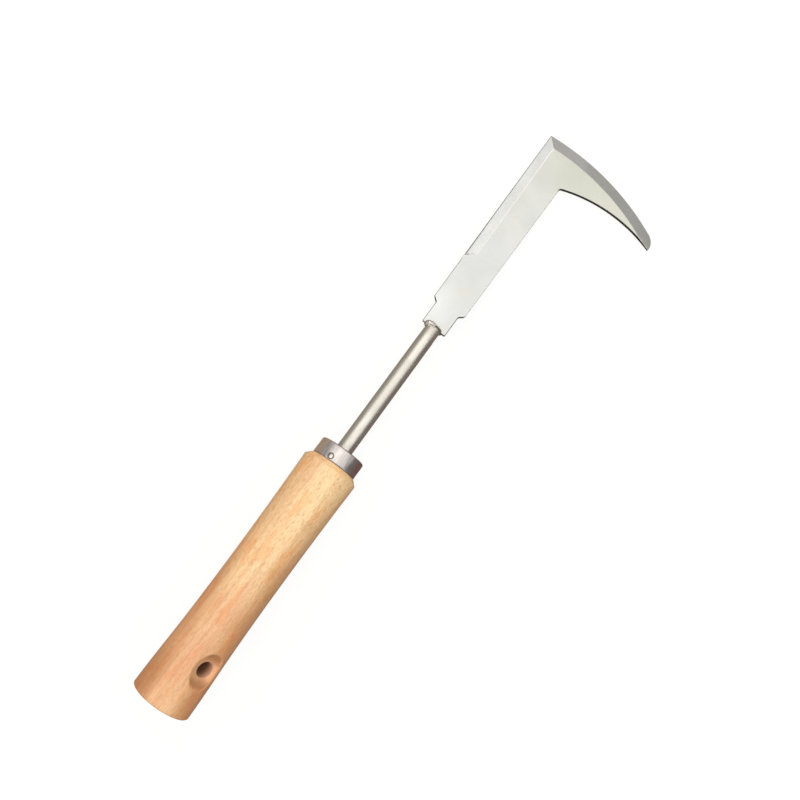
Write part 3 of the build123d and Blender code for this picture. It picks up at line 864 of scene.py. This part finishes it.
class SICKLE_OT_welds(bpy.types.Operator):
    """Weld beads between the neck and the blade"""
    bl_idname = "sickle.welds"
    bl_label = "Welds"

    def execute(self, context):
        made = bmesh.new()
        # angle about the neck from the side away from the hook, path radius, place along, bead radius
        side = [(-52, 3.75, 0.10, 0.55), (-40, 3.75, 0.05, 0.95), (-15, 3.70, 0.00, 1.15),
                (12, 3.60, 0.05, 1.25), (34, 3.20, 0.20, 1.30), (52, 2.80, 0.35, 1.25),
                (70, 2.45, 0.45, 1.15), (84, 2.30, 0.40, 0.90), (94, 2.30, 0.30, 0.45)]
        back = [(-172, 3.70, 0.10, 0.50), (-160, 3.75, 0.10, 0.95), (-135, 3.70, 0.10, 1.15),
                (-110, 3.60, 0.15, 1.15), (-92, 3.55, 0.20, 1.0), (-80, 3.50, 0.20, 0.5)]
        self.add_bead(made, side, 0.0)
        self.add_bead(made, back, 40.0)
        self.add_lumps(made)
        self.add_spatter(made)
        add_piece("weld_beads_laid", made, "weld_beads", weld_material(context.scene.sickle_steel))
        return {"FINISHED"}

    def add_bead(self, made, stations, seed):
        """A rippled bead: overlapping pools laid one after the other about the neck's end."""
        angles = [station[0] for station in stations]
        loops = []
        for angle in np.linspace(angles[0], angles[-1], 91):
            path, shift, size = (np.interp(angle, angles, [station[index] for station in stations])
                                 for index in (1, 2, 3))
            size *= 0.90 + 0.16 * abs(math.sin(math.radians(angle) * 11.0 + seed))
            turn = math.radians(angle)
            out = Vector((0.0, math.cos(turn), math.sin(turn)))
            centre = Vector((NECK_END + shift, 0.0, 0.0)) + out * path
            loop = []
            for around in circle(28):
                arm = out * math.cos(around) + Vector((1, 0, 0)) * math.sin(around)
                rough = 1.0 + 0.24 * noise.noise((centre + arm * size) * 1.1 + Vector((seed, 0, 0)))
                rough += 0.10 * noise.noise((centre + arm * size) * 3.6)
                loop.append(made.verts.new(centre + arm * size * rough))
            loops.append(loop)
        skin(made, loops)
        made.faces.new(loops[0])
        made.faces.new(list(reversed(loops[-1])))

    def add_lumps(self, made):
        """Flattened lumps where the side bead ran on to the neck and the tab."""
        chance = np.random.default_rng(21)
        for _ in range(16):
            turn = math.radians(chance.uniform(-35.0, 86.0))
            out = Vector((0.0, math.cos(turn), math.sin(turn)))
            place = Vector((NECK_END + chance.uniform(-0.9, 1.0), 0.0, 0.0)) + out * chance.uniform(3.0, 3.6)
            size = chance.uniform(0.35, 0.80)
            bmesh.ops.create_icosphere(made, subdivisions=3, radius=size,
                                       matrix=Matrix.Translation(place) @ Matrix.Scale(0.55, 4, out))

    def add_spatter(self, made):
        """Small beads thrown from the weld, on the tab's face and the end of the neck."""
        chance = np.random.default_rng(7)
        for _ in range(9):
            along = NECK_END + chance.uniform(0.9, 5.0)
            across = chance.uniform(-4.6, 5.2)
            size = chance.uniform(0.08, 0.19)
            place = Matrix.Translation((along, across, HALF_PLATE)) @ Matrix.Diagonal((1, 1, 0.6, 1))
            bmesh.ops.create_icosphere(made, subdivisions=2, radius=size, matrix=place)


class SICKLE_OT_stage(bpy.types.Operator):
    """Pale floor, soft studio light and the camera"""
    bl_idname = "sickle.stage"
    bl_label = "Stage"

    def execute(self, context):
        look = context.scene.sickle_stage
        self.add_floor(look)
        self.light_room(context.scene, look)
        self.add_soft_box(look)
        self.add_camera(context.scene, look)
        context.scene.view_settings.view_transform = "Standard"
        return {"FINISHED"}

    def add_floor(self, look):
        """A floor that the camera sees as plain and pale, and the tool mirrors as two dull cards."""
        floor_mesh = bmesh.new()
        bmesh.ops.create_circle(floor_mesh, cap_ends=True, segments=96, radius=6.0)
        floor = new_object("floor", floor_mesh)
        material = bpy.data.materials.new("Pale floor")
        material.use_nodes = True
        material.node_tree.nodes.clear()
        net = Graph(material.node_tree)
        place = net.add("TexCoord").outputs["Object"]
        paper = net.mix(net.noise(place, 60.0, 3.0, 0.6), (0.09, 0.09, 0.088), (0.11, 0.11, 0.108))
        glow = net.add("Emission", {"Color": (*look.floor_colour, 1), "Strength": 0.90})
        lit = net.add("AddShader", {0: net.add("BsdfDiffuse", {"Color": paper}).outputs[0],
                                    1: glow.outputs[0]})
        card = net.mix(net.step(net.parts(place)[1], 0.0, 0.05), look.hook_card, look.far_card)
        bounce = net.add("BsdfDiffuse", {"Color": card})
        seen = net.add("LightPath").outputs["Is Camera Ray"]
        mixed = net.add("MixShader", {0: seen, 1: bounce.outputs[0], 2: lit.outputs[0]})
        net.add("OutputMaterial", {"Surface": mixed.outputs[0]})
        floor.data.materials.append(material)

    def light_room(self, scene, look):
        """A grey room, darker on the hook's side, that the camera sees as plain pale backdrop."""
        world = bpy.data.worlds.new("Studio")
        world.use_nodes = True
        world.node_tree.nodes.clear()
        net = Graph(world.node_tree)
        ahead, side, _ = net.parts(net.add("TexCoord").outputs["Generated"])
        level = net.plus(net.step(side, -0.75, 0.55, 0.36 * look.sky, 1.0 * look.sky),
                         net.step(ahead, 0.25, 0.80, 0.0, 0.55 * look.sky))
        room = net.add("Background", {"Color": (1.0, 0.97, 0.93, 1), "Strength": level})
        backdrop = net.add("Background", {"Color": (*look.floor_colour, 1), "Strength": 1.0})
        seen = net.add("LightPath").outputs["Is Camera Ray"]
        mixed = net.add("MixShader", {0: seen, 1: room.outputs[0], 2: backdrop.outputs[0]})
        net.add("OutputWorld", {"Surface": mixed.outputs[0]})
        scene.world = world

    def add_soft_box(self, look):
        """One broad lamp, 1 m above the middle of the tool."""
        data = bpy.data.lights.new("soft_box", "AREA")
        data.shape = "RECTANGLE"
        data.size, data.size_y = 2.1, 2.3
        data.energy = look.key_power * math.pi * data.size * data.size_y
        data.color = (1.0, 0.985, 0.955)
        lamp = bpy.data.objects.new("soft_box", data)
        lamp.location = TO_ROW @ Vector((150.0, 0.0, 0.0)) + Vector((0.05, 0.03, 1.0))
        lamp.visible_camera = False
        bpy.context.scene.collection.objects.link(lamp)

    def add_camera(self, scene, look):
        """The camera looks down on the tool, turned so that the tool lies across the picture."""
        data = bpy.data.cameras.new("camera")
        data.lens, data.sensor_width = look.lens, 36.0
        data.clip_start, data.clip_end = 0.01, 50.0
        camera = bpy.data.objects.new("camera", data)
        eye = TO_ROW @ Vector(look.eye)
        forward = (TO_ROW @ Vector(look.aim) - eye).normalized()
        length = Vector(row_direction(1, 0, 0))
        top = (length - forward * length.dot(forward)).normalized()
        up = top * math.cos(look.turn) - forward.cross(top) * math.sin(look.turn)
        turn = Matrix((forward.cross(up), up, -forward)).transposed().to_4x4()
        camera.matrix_world = Matrix.Translation(eye) @ turn
        bpy.context.scene.collection.objects.link(camera)
        scene.camera = camera


OPERATORS = (SICKLE_OT_handle, SICKLE_OT_ferrule, SICKLE_OT_nail, SICKLE_OT_neck, SICKLE_OT_blade,
             SICKLE_OT_welds, SICKLE_OT_stage)
SETTINGS = (("sickle_wood", SickleWood), ("sickle_steel", SickleSteel), ("sickle_stage", SickleStage))


class SICKLE_PT_panel(bpy.types.Panel):
    """Lists the sickle's settings and pieces"""
    bl_label = "Hand sickle"
    bl_idname = "SICKLE_PT_panel"
    bl_space_type = "VIEW_3D"
    bl_region_type = "UI"
    bl_category = "Sickle"

    def draw(self, context):
        for name, kind in SETTINGS:
            box = self.layout.box()
            for prop in kind.__annotations__:
                box.prop(getattr(context.scene, name), prop)
        for kind in OPERATORS:
            self.layout.operator(kind.bl_idname)


def register():
    for kind in [kind for _, kind in SETTINGS] + [*OPERATORS, SICKLE_PT_panel]:
        bpy.utils.register_class(kind)
    for name, kind in SETTINGS:
        setattr(bpy.types.Scene, name, PointerProperty(type=kind))


def unregister():
    for name, _ in SETTINGS:
        delattr(bpy.types.Scene, name)
    for kind in [SICKLE_PT_panel, *OPERATORS] + [kind for _, kind in SETTINGS]:
        bpy.utils.unregister_class(kind)


def main():
    register()
    for name in [o.name for o in bpy.data.objects if o.type in ("CAMERA", "LIGHT")]:
        bpy.data.objects.remove(bpy.data.objects[name])
    for kind in OPERATORS:
        group, name = kind.bl_idname.split(".")
        getattr(getattr(bpy.ops, group), name)()


if __name__ == "__main__":
    main()
